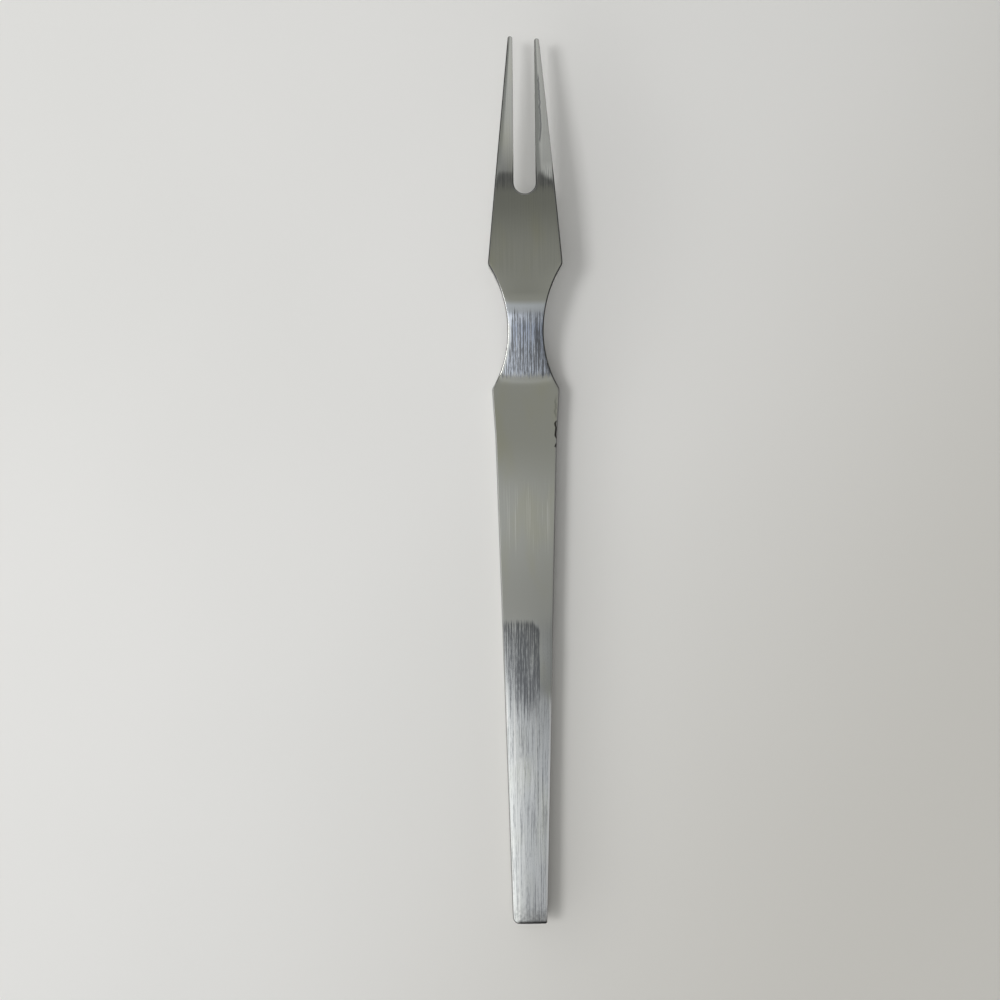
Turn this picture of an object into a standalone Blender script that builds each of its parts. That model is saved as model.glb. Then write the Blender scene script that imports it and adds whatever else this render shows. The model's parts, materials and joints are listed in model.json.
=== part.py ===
"""A two-tine appetizer fork, lying on its face on a table.

The fork is one flat steel bar: a long handle that tapers to its end, a neck cut in by a round
scallop on each side, a head, and two tines either side of a parallel slot. It is shaped here the
way it is made: the outline is stamped out, the side view gives it its set and its thickness, and
the edges are rounded. The bar is then divided at flat planes into its five named zones.

Units are metres. +Y runs from the handle's end to the tines, +Z is up, and z = 0 is the table.
y = 0 lies half way along the fork.
"""

import math

import bmesh
import bpy

# Outline, seen from above
HANDLE_LENGTH = 0.1030         # handle's end to its shoulder corner
HANDLE_END_WIDTH = 0.0066
HANDLE_SHOULDER_WIDTH = 0.0124  # width that the straight taper reaches at the shoulder
SHOULDER_FLARE = 0.0003        # how far each side swings out past that taper
FLARE_LENGTH = 0.0110
END_RADIUS_LEFT = 0.0012       # the handle's two end corners are ground unlike
END_RADIUS_RIGHT = 0.0005
WAIST_WIDTH = 0.0069           # narrowest place of the neck
SCALLOP_RADIUS_BELOW = 0.0208  # round of the neck from its waist down to the handle
SCALLOP_RADIUS_ABOVE = 0.0228  # and from its waist up to the head
HEAD_SHOULDER_WIDTH = 0.0142
HEAD_LENGTH = 0.0153           # shoulder corner to the middle of the slot's round root
TINE_LENGTH = 0.0286           # from there to the tip
TIP_SPREAD = 0.0060            # over both tips
SLOT_WIDTH = 0.0042
RIGHT_TIP_SHORTFALL = 0.0005   # the right tine is worn this much shorter

# Side view
HANDLE_THICKNESS = 0.0031
HEAD_THICKNESS = 0.0022
TIP_THICKNESS = 0.0010
HEAD_RISE = 0.0029             # step up from the handle to the head
RAMP_START = 0.0017            # foot of the ramp, past the handle's shoulder
RAMP_LENGTH = 0.0138
FOOT_BEND = 0.0014             # the bar bends over this stretch either side of the ramp's foot
TOP_BEND = 0.0022              # and of its top
CREST_RISE = 0.0005            # further rise from the ramp to the root of the tines
TINE_BEND_START = 0.0012       # the tines bend down this far past the slot's root
TINE_BEND = 0.0010             # over this stretch to either side
TINE_SLOPE = 0.050
TIP_BOW = 0.0007               # and bow this much further down over their length
END_LIFT = 0.0005              # how far the handle's end curls off the table
REST_LENGTH = 0.0486           # flat stretch under the handle, back from where the bar first bends

# Rounding of the edges, and how finely curves are cut
EDGE_ROUND = 0.0003
EDGE_SEGMENTS = 2
SHARP_ANGLE = math.radians(35)
CORNER_STEPS = 5
TIP_STEPS = 8
ROOT_STEPS = 7                 # half of the slot's round root
FLARE_STEPS = 6
LIFT_STEPS = 8
NECK_STEPS = 26
HEAD_STEPS = 6
TINE_STEPS = 12
OVERSHOOT = 0.0020             # how far cutting bodies reach past the bar
WELD_DISTANCE = 0.000001

STEEL_COLOUR = (0.56, 0.57, 0.55, 1.0)
STEEL_ROUGHNESS = 0.32


def scallop_reach(radius, width):
    """Distance along the neck from its waist to where a scallop leaves it as wide as given."""
    depth = (width - WAIST_WIDTH) / 2
    return math.sqrt(radius ** 2 - (radius - depth) ** 2)


# Places along the fork, worked out from the sizes above
SHOULDER_WIDTH = HANDLE_SHOULDER_WIDTH + 2 * SHOULDER_FLARE
NECK_BELOW_WAIST = scallop_reach(SCALLOP_RADIUS_BELOW, SHOULDER_WIDTH)
NECK_ABOVE_WAIST = scallop_reach(SCALLOP_RADIUS_ABOVE, HEAD_SHOULDER_WIDTH)
OVERALL_LENGTH = HANDLE_LENGTH + NECK_BELOW_WAIST + NECK_ABOVE_WAIST + HEAD_LENGTH + TINE_LENGTH
Y_END = -OVERALL_LENGTH / 2
Y_HANDLE_SHOULDER = Y_END + HANDLE_LENGTH
Y_WAIST = Y_HANDLE_SHOULDER + NECK_BELOW_WAIST
Y_HEAD_SHOULDER = Y_WAIST + NECK_ABOVE_WAIST
Y_TINE_ROOT = Y_HEAD_SHOULDER + HEAD_LENGTH
Y_TIP = Y_TINE_ROOT + TINE_LENGTH
Y_RAMP = Y_HANDLE_SHOULDER + RAMP_START
Y_RAMP_TOP = Y_RAMP + RAMP_LENGTH
Y_REST = Y_RAMP - FOOT_BEND - REST_LENGTH
Y_TINE_BEND = Y_TINE_ROOT + TINE_BEND_START


def spread(start, stop, steps):
    """Evenly spaced values from start to stop, both ends included."""
    return [start + (stop - start) * i / steps for i in range(steps + 1)]


def ease(value, start, stop):
    """0 before start, 1 after stop, and an even S-curve between them."""
    t = min(max((value - start) / (stop - start), 0.0), 1.0)
    return t * t * (3.0 - 2.0 * t)


def arc(centre, radius, start, stop, steps):
    """Points on a circle, from one angle in degrees to another."""
    angles = [math.radians(a) for a in spread(start, stop, steps)]
    return [(centre[0] + radius * math.cos(a), centre[1] + radius * math.sin(a)) for a in angles]


def past(value, bend):
    """How far a value is past zero, 0 before it, with a round bend of this reach to either side."""
    if value >= bend:
        return value
    return max(value + bend, 0.0) ** 2 / (4.0 * bend)


# Places where both the outline and the side view bend, so that they share their points
NECK_STATIONS = spread(Y_HANDLE_SHOULDER, Y_HEAD_SHOULDER, NECK_STEPS)


def handle_half_width(y):
    """Half the handle's width: a straight taper, flared near the shoulder."""
    along = (y - Y_END) / HANDLE_LENGTH
    taper = HANDLE_END_WIDTH + (HANDLE_SHOULDER_WIDTH - HANDLE_END_WIDTH) * along
    return taper / 2 + SHOULDER_FLARE * ease(y, Y_HANDLE_SHOULDER - FLARE_LENGTH, Y_HANDLE_SHOULDER)


def neck_half_width(y):
    """Half the neck's width: a round scallop, narrowest at the waist."""
    radius = SCALLOP_RADIUS_BELOW if y < Y_WAIST else SCALLOP_RADIUS_ABOVE
    return WAIST_WIDTH / 2 + radius - math.sqrt(radius ** 2 - (y - Y_WAIST) ** 2)


def side_outline(end_radius, y_tip):
    """Outline of the fork's right half, from the middle of its end to the root of the slot."""
    half_end = HANDLE_END_WIDTH / 2
    half_slot = SLOT_WIDTH / 2
    tip_radius = (TIP_SPREAD - SLOT_WIDTH) / 4
    end_corner = arc((half_end - end_radius, Y_END + end_radius), end_radius, -90, 0, CORNER_STEPS)
    flare = spread(Y_HANDLE_SHOULDER - FLARE_LENGTH, Y_HANDLE_SHOULDER, FLARE_STEPS)
    handle = [(handle_half_width(y), y) for y in flare[:-1]]
    neck = [(neck_half_width(y), y) for y in NECK_STATIONS]
    tip = arc((half_slot + tip_radius, y_tip - tip_radius), tip_radius, 0, 180, TIP_STEPS)
    root = arc((0, Y_TINE_ROOT), half_slot, 0, -90, ROOT_STEPS)
    return end_corner + handle + neck + tip + root


def plan_points():
    """Outline of the whole fork, anticlockwise from above."""
    right = side_outline(END_RADIUS_RIGHT, Y_TIP - RIGHT_TIP_SHORTFALL)
    left = side_outline(END_RADIUS_LEFT, Y_TIP)
    return right + [(-x, y) for x, y in reversed(left[:-1])]


def ramp_share(y):
    """Share of the step up that is climbed at y: a straight ramp, bent round at its foot and top."""
    return (past(y - Y_RAMP, FOOT_BEND) - past(y - Y_RAMP_TOP, TOP_BEND)) / RAMP_LENGTH


def top_height(y):
    """Height of the upper surface: end curl, flat handle, ramp up the neck, bow of the tines."""
    behind = max((Y_REST - y) / (Y_REST - Y_END), 0.0)
    lift = END_LIFT * behind ** 2
    crest = CREST_RISE * ease(y, Y_RAMP_TOP, Y_TINE_ROOT)
    bent = TINE_SLOPE * past(y - Y_TINE_BEND, TINE_BEND)
    bowed = TIP_BOW * max((y - Y_TINE_BEND) / TINE_LENGTH, 0.0) ** 2
    return HANDLE_THICKNESS + lift + HEAD_RISE * ramp_share(y) + crest - bent - bowed


def thickness(y):
    """Thickness of the bar: even along the handle, thinned up the neck, tapered along the tines."""
    thinned = (HANDLE_THICKNESS - HEAD_THICKNESS) * ramp_share(y)
    tapered = (HEAD_THICKNESS - TIP_THICKNESS) * max((y - Y_TINE_ROOT) / TINE_LENGTH, 0.0)
    return HANDLE_THICKNESS - thinned - tapered


def profile_points():
    """Outline of the side view as (y, z), from the handle's end along the top and back below."""
    stations = spread(Y_END - OVERSHOOT, Y_REST, LIFT_STEPS)
    stations += NECK_STATIONS
    stations += spread(Y_HEAD_SHOULDER, Y_TINE_ROOT, HEAD_STEPS)[1:]
    stations += spread(Y_TINE_ROOT, Y_TIP + OVERSHOOT, TINE_STEPS)[1:]
    top = [(y, top_height(y)) for y in stations]
    bottom = [(y, top_height(y) - thickness(y)) for y in stations]
    return top[::-1] + bottom


def filled_outline(name, points, half_depth):
    """Closed mesh of a flat outline in XY, thickened by half_depth to each side."""
    curve = bpy.data.curves.new(name, "CURVE")
    curve.dimensions = "2D"
    curve.fill_mode = "BOTH"
    curve.extrude = half_depth
    spline = curve.splines.new("POLY")
    spline.points.add(len(points) - 1)
    for point, (x, y) in zip(spline.points, points):
        point.co = (x, y, 0.0, 1.0)
    spline.use_cyclic_u = True
    holder = bpy.data.objects.new(name, curve)
    bpy.context.scene.collection.objects.link(holder)
    mesh = mesh_of(holder, name)
    bpy.data.curves.remove(curve)
    return mesh


def mesh_of(holder, name):
    """Mesh of an object with its modifiers applied and its doubles welded; the object goes."""
    bpy.context.view_layer.update()
    evaluated = holder.evaluated_get(bpy.context.evaluated_depsgraph_get())
    mesh = bpy.data.meshes.new_from_object(evaluated)
    mesh.name = name
    bpy.data.objects.remove(holder)
    work = bmesh.new()
    work.from_mesh(mesh)
    bmesh.ops.remove_doubles(work, verts=work.verts, dist=WELD_DISTANCE)
    bmesh.ops.recalc_face_normals(work, faces=work.faces)
    work.to_mesh(mesh)
    work.free()
    return mesh


def add_object(name, mesh, collection):
    """New object with the given mesh, in the given collection."""
    item = bpy.data.objects.new(name, mesh)
    collection.objects.link(item)
    return item


def add_cutter(name, mesh, collection):
    """Helper body that only shapes other objects."""
    cutter = add_object(name, mesh, collection)
    cutter.hide_render = True
    cutter.display_type = "WIRE"
    return cutter


def keep_inside(item, cutter):
    """Keep the part of an object that lies inside a cutter."""
    common = item.modifiers.new("Keep inside", "BOOLEAN")
    common.operation = "INTERSECT"
    common.object = cutter


def stamped_bar(cutters):
    """The whole fork as one bar: its outline, kept inside its side view, with rounded edges."""
    tallest = HANDLE_THICKNESS + HEAD_RISE + CREST_RISE + OVERSHOOT
    widest = HEAD_SHOULDER_WIDTH / 2 + OVERSHOOT
    plan = filled_outline("plan", plan_points(), tallest)
    side = filled_outline("side_view", profile_points(), widest)
    for vertex in side.vertices:
        along, height, across = vertex.co
        vertex.co = (across, along, height)
    bar = add_object("bar", plan, bpy.context.scene.collection)
    keep_inside(bar, add_cutter("side_view", side, cutters))
    rounding = bar.modifiers.new("Rounded edges", "BEVEL")
    rounding.width = EDGE_ROUND
    rounding.segments = EDGE_SEGMENTS
    rounding.limit_method = "ANGLE"
    rounding.angle_limit = SHARP_ANGLE
    rounding.use_clamp_overlap = False
    return mesh_of(bar, "bar")


def zone_box(name, y_from, y_to, x_from, x_to):
    """Box that holds one zone of the fork, over its full height."""
    low = -OVERSHOOT
    high = HANDLE_THICKNESS + HEAD_RISE + CREST_RISE + OVERSHOOT
    work = bmesh.new()
    bmesh.ops.create_cube(work, size=1.0)
    for vertex in work.verts:
        vertex.co.x = x_to if vertex.co.x > 0 else x_from
        vertex.co.y = y_to if vertex.co.y > 0 else y_from
        vertex.co.z = high if vertex.co.z > 0 else low
    mesh = bpy.data.meshes.new(name)
    work.to_mesh(mesh)
    work.free()
    return mesh


def brushed_steel():
    """Stainless steel, brushed along the fork."""
    material = bpy.data.materials.new("brushed_steel")
    material.use_nodes = True
    shader = material.node_tree.nodes["Principled BSDF"]
    shader.inputs["Base Color"].default_value = STEEL_COLOUR
    shader.inputs["Metallic"].default_value = 1.0
    shader.inputs["Roughness"].default_value = STEEL_ROUGHNESS
    return material


def new_collection(name):
    """New collection in the scene."""
    collection = bpy.data.collections.new(name)
    bpy.context.scene.collection.children.link(collection)
    return collection


for existing in list(bpy.data.objects):
    bpy.data.objects.remove(existing)

fork = new_collection("appetizer_fork")
cutters = new_collection("cutters")
bar_mesh = stamped_bar(cutters)
bar_mesh.materials.append(brushed_steel())
bar_mesh.shade_smooth()
bar_mesh.set_sharp_from_angle(angle=SHARP_ANGLE)

reach = HEAD_SHOULDER_WIDTH / 2 + OVERSHOOT
zones = {
    "handle": (Y_END - OVERSHOOT, Y_HANDLE_SHOULDER, -reach, reach),
    "neck": (Y_HANDLE_SHOULDER, Y_HEAD_SHOULDER, -reach, reach),
    "head": (Y_HEAD_SHOULDER, Y_TINE_ROOT, -reach, reach),
    "left_tine": (Y_TINE_ROOT, Y_TIP + OVERSHOOT, -reach, 0.0),
    "right_tine": (Y_TINE_ROOT, Y_TIP + OVERSHOOT, 0.0, reach),
}
for zone, limits in zones.items():
    piece = add_object(zone, bar_mesh, fork)
    box = zone_box(zone + "_zone", *limits)
    keep_inside(piece, add_cutter(zone + "_zone", box, cutters))
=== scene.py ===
"""A two-tine appetizer fork of brushed steel, lying on its face and seen from straight above.

Units are metres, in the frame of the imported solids: +Y runs from the handle's end to the tines,
+Z is up and z = 0 is the table. A pair of places is a span, over which something fades in from the
first place to the second.
"""

import json
import math

import bmesh
import bpy
import numpy as np
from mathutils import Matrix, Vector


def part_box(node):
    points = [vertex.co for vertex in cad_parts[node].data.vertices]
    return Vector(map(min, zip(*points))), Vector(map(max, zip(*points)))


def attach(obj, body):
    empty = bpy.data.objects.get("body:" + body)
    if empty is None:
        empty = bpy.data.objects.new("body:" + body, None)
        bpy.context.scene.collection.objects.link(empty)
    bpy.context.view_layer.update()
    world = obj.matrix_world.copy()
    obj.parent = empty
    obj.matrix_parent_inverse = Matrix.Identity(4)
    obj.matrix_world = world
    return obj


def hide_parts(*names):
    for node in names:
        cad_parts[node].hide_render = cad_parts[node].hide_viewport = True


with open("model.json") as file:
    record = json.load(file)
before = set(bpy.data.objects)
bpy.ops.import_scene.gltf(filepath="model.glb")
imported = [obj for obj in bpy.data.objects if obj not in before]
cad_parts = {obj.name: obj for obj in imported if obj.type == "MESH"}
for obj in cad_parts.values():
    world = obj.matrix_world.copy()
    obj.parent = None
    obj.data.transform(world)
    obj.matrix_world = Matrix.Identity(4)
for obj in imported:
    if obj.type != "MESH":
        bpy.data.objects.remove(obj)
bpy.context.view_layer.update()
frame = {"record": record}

# Camera
# It hangs straight above the fork, about one fork length up, and is turned a hair about its own
# axis, which is how the photograph was taken. Lens and sensor are in millimetres.
CAMERA_PLACE = (-0.005146, -0.003509, 0.1742)
CAMERA_TURN = -0.00812
CAMERA_LENS = 32.0
SENSOR_WIDTH = 36.0
CAMERA_NEAREST = 0.01

camera_data = bpy.data.cameras.new("camera")
camera_data.lens = CAMERA_LENS
camera_data.sensor_width = SENSOR_WIDTH
camera_data.clip_start = CAMERA_NEAREST
camera = bpy.data.objects.new("camera", camera_data)
camera.location = CAMERA_PLACE
camera.rotation_euler = (0.0, 0.0, CAMERA_TURN)
bpy.context.scene.collection.objects.link(camera)
bpy.context.scene.camera = camera
bpy.context.scene.view_settings.view_transform = "Standard"


# Table top
# A plain sheet of pale matt laminate, flat and larger than any view of the fork reaches. Its colour
# drifts by a few parts in a hundred. To the right of the handle its colour is painted darker, as
# painted shade for the lamp's light falling off, and further off it is pale again.
TABLE_HALF_SIZE = 4.0
TABLE_PALE = (0.835, 0.828, 0.815, 1.0)
TABLE_DULL = (0.805, 0.80, 0.785, 1.0)
# The darker colour here is painted shade, for the lamp's light falling off to the right.
TABLE_PAINTED_SHADE = (0.66, 0.645, 0.61, 1.0)
TABLE_ROUGHNESS = 0.65
TABLE_SPECULAR = 0.2
DRIFT_SCALE = (9.0, 9.0, 9.0)
DRIFT = (0.3, 0.7)             # span of the noise
PAINTED_SHADE_LEAN = 0.6               # the shade's borders lean to the right by this much of y
PAINTED_SHADE_NEAR = (-0.03, 0.13)
PAINTED_SHADE_FAR = (0.75, 0.16)


class Wire:
    """One socket of a shader tree. Arithmetic on wires adds Math nodes to that tree."""

    def __init__(self, tree, socket=None):
        self.tree = tree
        self.socket = socket

    def node(self, kind, settings=(), inputs=(), output=0):
        """Add a node, with its settings first and then its sockets' values or links."""
        made = self.tree.nodes.new(kind)
        for name, value in dict(settings).items():
            setattr(made, name, value)
        for name, value in dict(inputs).items():
            if isinstance(value, Wire):
                self.tree.links.new(value.socket, made.inputs[name])
            else:
                made.inputs[name].default_value = value
        return Wire(self.tree, made.outputs[output] if made.outputs else None)

    def math(self, operation, *values):
        """Math node on this wire and further values."""
        return self.node("ShaderNodeMath", {"operation": operation}, enumerate((self, *values)))

    def __add__(self, other):
        return self.math("ADD", other)

    def __radd__(self, other):
        return self.math("ADD", other)

    def __sub__(self, other):
        return self.math("SUBTRACT", other)

    def __rsub__(self, other):
        return self.math("MULTIPLY", -1.0).math("ADD", other)

    def __mul__(self, other):
        return self.math("MULTIPLY", other)

    def __rmul__(self, other):
        return self.math("MULTIPLY", other)

    def __truediv__(self, other):
        return self.math("DIVIDE", other)

    def most(self, *others):
        """Largest of this wire and the others."""
        largest = self
        for other in others:
            largest = largest.math("MAXIMUM", other)
        return largest

    def axis(self, name):
        """One of the three numbers of a vector."""
        return self.node("ShaderNodeSeparateXYZ", inputs={0: self}, output=name)

    def rise(self, start, stop):
        """0 before start and 1 after stop, with an even S-curve between; start may be the larger."""
        settings = {"interpolation_type": "SMOOTHSTEP"}
        return self.node("ShaderNodeMapRange", settings, {0: self, 1: start, 2: stop})

    def blend(self, colour_at_zero, colour_at_one):
        """Colour between two colours, this wire being the share of the second."""
        settings = {"data_type": "RGBA"}
        return self.node("ShaderNodeMix", settings, {0: self, 6: colour_at_zero, 7: colour_at_one}, 2)

    def noise(self, scale, detail=2.0, roughness=0.5):
        """Cloudy noise over this vector, from 0 to 1; scale is per unit along each axis."""
        settings = {"operation": "MULTIPLY"}
        stretched = self.node("ShaderNodeVectorMath", settings, {0: self, 1: scale})
        sockets = {"Vector": stretched, "Scale": 1.0, "Detail": detail, "Roughness": roughness}
        return self.node("ShaderNodeTexNoise", inputs=sockets)


def shaded(name):
    """New material with an empty shader tree, and the wire from which its nodes are added."""
    material = bpy.data.materials.new(name)
    material.use_nodes = True
    tree = material.node_tree
    tree.nodes.clear()
    return material, Wire(tree)


table_material, start = shaded("pale_laminate")
place = start.node("ShaderNodeTexCoord", output="Object")
drift = place.noise(DRIFT_SCALE).rise(*DRIFT)
rightward = place.axis("X") - place.axis("Y") * PAINTED_SHADE_LEAN
# Painted shade: darker to the right of the handle, where the lamp's light falls off.
painted_shade = rightward.rise(*PAINTED_SHADE_NEAR) * rightward.rise(*PAINTED_SHADE_FAR)
laminate = start.node("ShaderNodeBsdfPrincipled", inputs={
    "Base Color": painted_shade.blend(drift.blend(TABLE_PALE, TABLE_DULL), TABLE_PAINTED_SHADE),
    "Roughness": TABLE_ROUGHNESS,
    "Specular IOR Level": TABLE_SPECULAR,
})
start.node("ShaderNodeOutputMaterial", inputs={"Surface": laminate})

table_mesh = bpy.data.meshes.new("table_top")
corners = np.array([(-1, -1, 0), (1, -1, 0), (1, 1, 0), (-1, 1, 0)]) * TABLE_HALF_SIZE
table_mesh.from_pydata(corners.tolist(), [], [(0, 1, 2, 3)])
table_mesh.materials.append(table_material)
table = bpy.data.objects.new("table_top", table_mesh)
bpy.context.scene.collection.objects.link(table)

# Light
# One soft lamp stands for a window on the left. Above is a ceiling of soft grey panels, which the
# flat steel mirrors, and low down a surround that is brighter on the left. In the surround's place
# the steel mirrors a plain pale backdrop, which is all that the camera sees of the room.
LAMP_PLACE = (-0.405, 0.0, 0.443)
LAMP_HEIGHT = 0.18
LAMP_WIDTH = 0.20
LAMP_POWER = 1.16

lamp_data = bpy.data.lights.new("window_lamp", "AREA")
lamp_data.shape = "RECTANGLE"
lamp_data.size = LAMP_HEIGHT
lamp_data.size_y = LAMP_WIDTH
lamp_data.energy = LAMP_POWER
lamp = bpy.data.objects.new("window_lamp", lamp_data)
lamp.location = LAMP_PLACE
lamp.rotation_euler = (0.0, -math.atan2(-LAMP_PLACE[0], LAMP_PLACE[2]), 0.0)
bpy.context.scene.collection.objects.link(lamp)

# The panels' spans are places on the ceiling, along and across the fork, in ceiling heights from
# the spot straight above. FAR is towards the tines and NEAR towards the handle's end.
LEAST_RISE = 0.05              # flattest direction that still counts as meeting the ceiling
CEILING_FAR = (0.365, 0.365, 0.33, 1.0)
CEILING_NEAR = (0.45, 0.45, 0.43, 1.0)
CEILING_RIGHT = (0.385, 0.385, 0.365, 1.0)
NEARER_ALONG = (0.03, -0.10)
LEFT_ACROSS = (0.08, -0.02)
MIDDLE = (0.53, 0.535, 0.515, 1.0)
MIDDLE_FAR_SIDE = (0.07, -0.01)
MIDDLE_NEAR_SIDE = (-0.11, -0.02)
MIDDLE_SHARE = 0.55            # and as much again on the left
FAR_DIM = (0.216, 0.217, 0.192, 1.0)
FAR_DIM_ALONG = (0.16, 0.30)
FAR_DARK = (0.16, 0.16, 0.155, 1.0)
FAR_DARK_ALONG = (0.33, 0.36)
FAR_BRIGHT = (0.62, 0.62, 0.605, 1.0)
FAR_BRIGHT_ALONG = (0.43, 0.60)
FAR_BRIGHT_LEAN = 0.2          # its border leans by this much of the place across
FAR_TOP = (0.70, 0.70, 0.685, 1.0)
FAR_TOP_ALONG = (0.60, 0.74)
FAR_LEFT = (0.33, 0.335, 0.325, 1.0)
FAR_LEFT_ALONG = (0.38, 0.42)
FAR_LEFT_ACROSS = (-0.04, -0.12)
FAR_EDGE = (0.20, 0.20, 0.20, 1.0)
FAR_EDGE_ALONG = (0.95, 1.30)
NEAR_DIM = (0.28, 0.285, 0.285, 1.0)
NEAR_DIM_ALONG = (-0.13, -0.15)
NEAR_DIM_ACROSS = (0.040, 0.050)
NEAR_BRIGHT = (0.72, 0.735, 0.765, 1.0)
NEAR_BRIGHT_ALONG = (-0.135, -0.175)
NEAR_BRIGHT_ACROSS = (0.052, 0.040)
NEAR_WHOLE_ALONG = (-0.222, -0.29)  # past this it reaches right across
NEAR_LEFT = (1.50, 1.51, 1.50, 1.0)
NEAR_LEFT_ALONG = (-0.16, -0.29)
NEAR_LEFT_ACROSS = (0.02, -0.11)
NEAR_END = (0.34, 0.34, 0.34, 1.0)
NEAR_END_ALONG = (-0.33, -0.55)
NEAR_END_ACROSS = (-0.09, 0.02)
NEAR_EDGE = (0.08, 0.08, 0.08, 1.0)
NEAR_EDGE_ALONG = (-0.70, -0.95)
RIGHT_DIM = (0.22, 0.22, 0.215, 1.0)
RIGHT_DIM_ACROSS = (0.17, 0.47)

room = bpy.data.worlds.new("room")
bpy.context.scene.world = room
room.use_nodes = True
room.node_tree.nodes.clear()
start = Wire(room.node_tree)
ray = start.node("ShaderNodeTexCoord", output="Generated")
upward = ray.axis("Z")
steep = upward.most(LEAST_RISE)
across = ray.axis("X") / steep
along = ray.axis("Y") / steep

to_left = across.rise(*LEFT_ACROSS)
nearer = to_left.blend(CEILING_RIGHT, CEILING_NEAR)
panels = along.rise(*NEARER_ALONG).blend(CEILING_FAR, nearer)
middle = along.rise(*MIDDLE_FAR_SIDE) * along.rise(*MIDDLE_NEAR_SIDE)
panels = (middle * (MIDDLE_SHARE + to_left * MIDDLE_SHARE)).blend(panels, MIDDLE)
panels = along.rise(*FAR_DIM_ALONG).blend(panels, FAR_DIM)
panels = along.rise(*FAR_DARK_ALONG).blend(panels, FAR_DARK)
panels = (along + across * FAR_BRIGHT_LEAN).rise(*FAR_BRIGHT_ALONG).blend(panels, FAR_BRIGHT)
panels = along.rise(*FAR_TOP_ALONG).blend(panels, FAR_TOP)
panels = (along.rise(*FAR_LEFT_ALONG) * across.rise(*FAR_LEFT_ACROSS)).blend(panels, FAR_LEFT)
panels = along.rise(*FAR_EDGE_ALONG).blend(panels, FAR_EDGE)
panels = (along.rise(*NEAR_DIM_ALONG) * across.rise(*NEAR_DIM_ACROSS)).blend(panels, NEAR_DIM)
near_bright = along.rise(*NEAR_BRIGHT_ALONG) * across.rise(*NEAR_BRIGHT_ACROSS)
panels = near_bright.most(along.rise(*NEAR_WHOLE_ALONG)).blend(panels, NEAR_BRIGHT)
panels = (along.rise(*NEAR_LEFT_ALONG) * across.rise(*NEAR_LEFT_ACROSS)).blend(panels, NEAR_LEFT)
panels = (along.rise(*NEAR_END_ALONG) * across.rise(*NEAR_END_ACROSS)).blend(panels, NEAR_END)
panels = along.rise(*NEAR_EDGE_ALONG).blend(panels, NEAR_EDGE)
panels = across.rise(*RIGHT_DIM_ACROSS).blend(panels, RIGHT_DIM)

# Below the ceiling, spans are parts of a direction of length 1: sideways, and upward for the rest.
WINDOW_LEFT = (5.00, 5.00, 4.95, 1.0)
SURROUND_LEFT = (1.05, 1.05, 1.04, 1.0)
SURROUND_RIGHT = (0.32, 0.32, 0.315, 1.0)
BACKDROP = (0.74, 0.735, 0.72, 1.0)
LEFT_SIDE = (0.3, -0.7)
WINDOW_TOP = (0.32, 0.22)
HORIZON = (0.15, 0.09)
CEILING_EDGE = (0.35, 0.60)

surround_left = upward.rise(*WINDOW_TOP).blend(SURROUND_LEFT, WINDOW_LEFT)
surround = ray.axis("X").rise(*LEFT_SIDE).blend(SURROUND_RIGHT, surround_left)
seen = start.node("ShaderNodeLightPath", output="Is Camera Ray")
mirrored = start.node("ShaderNodeLightPath", output="Is Glossy Ray")
refracted = start.node("ShaderNodeLightPath", output="Is Transmission Ray")
plain = upward.rise(*HORIZON).most(mirrored, refracted)
light = upward.rise(*CEILING_EDGE).blend(plain.blend(surround, BACKDROP), panels)
light = seen.blend(light, BACKDROP)
background = start.node("ShaderNodeBackground", inputs={"Color": light, "Strength": 1.0})
start.node("ShaderNodeOutputWorld", inputs={"Surface": background})

# The fork
# One bar of stainless steel: stamped to its outline, set in a press so that the head stands above
# the handle, ground on its tines and brushed lengthwise. It is one piece, and is meshed here in the
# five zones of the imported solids, which meet face to face with no step between them.
Y_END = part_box("handle")[0].y
Y_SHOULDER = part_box("handle")[1].y
Y_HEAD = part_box("neck")[1].y
Y_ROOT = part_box("head")[1].y
Y_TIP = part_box("left_tine")[1].y
Y_TIP_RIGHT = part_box("right_tine")[1].y

# Its outline: a tapered handle, a round scallop to each side of the neck, and a head that narrows
# into two tines with a round-rooted slot between them.
END_WIDTH = 0.0066
SHOULDER_WIDTH = 0.0124
SHOULDER_FLARE = 0.0003
FLARE_LENGTH = 0.0110
WAIST_WIDTH = 0.0069
SCALLOP_RADIUS_BELOW = 0.0208
SCALLOP_RADIUS_ABOVE = 0.0228
HEAD_WIDTH = 0.0142
TIP_SPREAD = 0.0060
SLOT_WIDTH = 0.0042
TIP_RADIUS = (TIP_SPREAD - SLOT_WIDTH) / 4
CORNER_EASE = 0.0008           # stretch over which the shoulder corners are worn round
EASE_SAMPLES = 9
WAIST_DEPTH = SHOULDER_WIDTH / 2 + SHOULDER_FLARE - WAIST_WIDTH / 2
Y_WAIST = Y_SHOULDER + math.sqrt(WAIST_DEPTH * (2 * SCALLOP_RADIUS_BELOW - WAIST_DEPTH))


def ease(value, start, stop):
    """0 before start, 1 after stop, and an even S-curve between them."""
    t = np.clip((value - start) / (stop - start), 0.0, 1.0)
    return t * t * (3.0 - 2.0 * t)


def stamped_half_width(y, y_tip):
    """Half the width of the stamped outline: tapered handle, round scallops, straight head."""
    handle = np.interp(y, (Y_END, Y_SHOULDER), (END_WIDTH / 2, SHOULDER_WIDTH / 2))
    handle = handle + SHOULDER_FLARE * ease(y, Y_SHOULDER - FLARE_LENGTH, Y_SHOULDER)
    radius = np.where(y < Y_WAIST, SCALLOP_RADIUS_BELOW, SCALLOP_RADIUS_ABOVE)
    reach = np.clip(y - Y_WAIST, -radius, radius)
    neck = WAIST_WIDTH / 2 + radius - np.sqrt(radius ** 2 - reach ** 2)
    head = np.interp(y, (Y_HEAD, y_tip - TIP_RADIUS), (HEAD_WIDTH / 2, TIP_SPREAD / 2))
    return np.select([y < Y_SHOULDER, y < Y_HEAD], [handle, neck], head)


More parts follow.
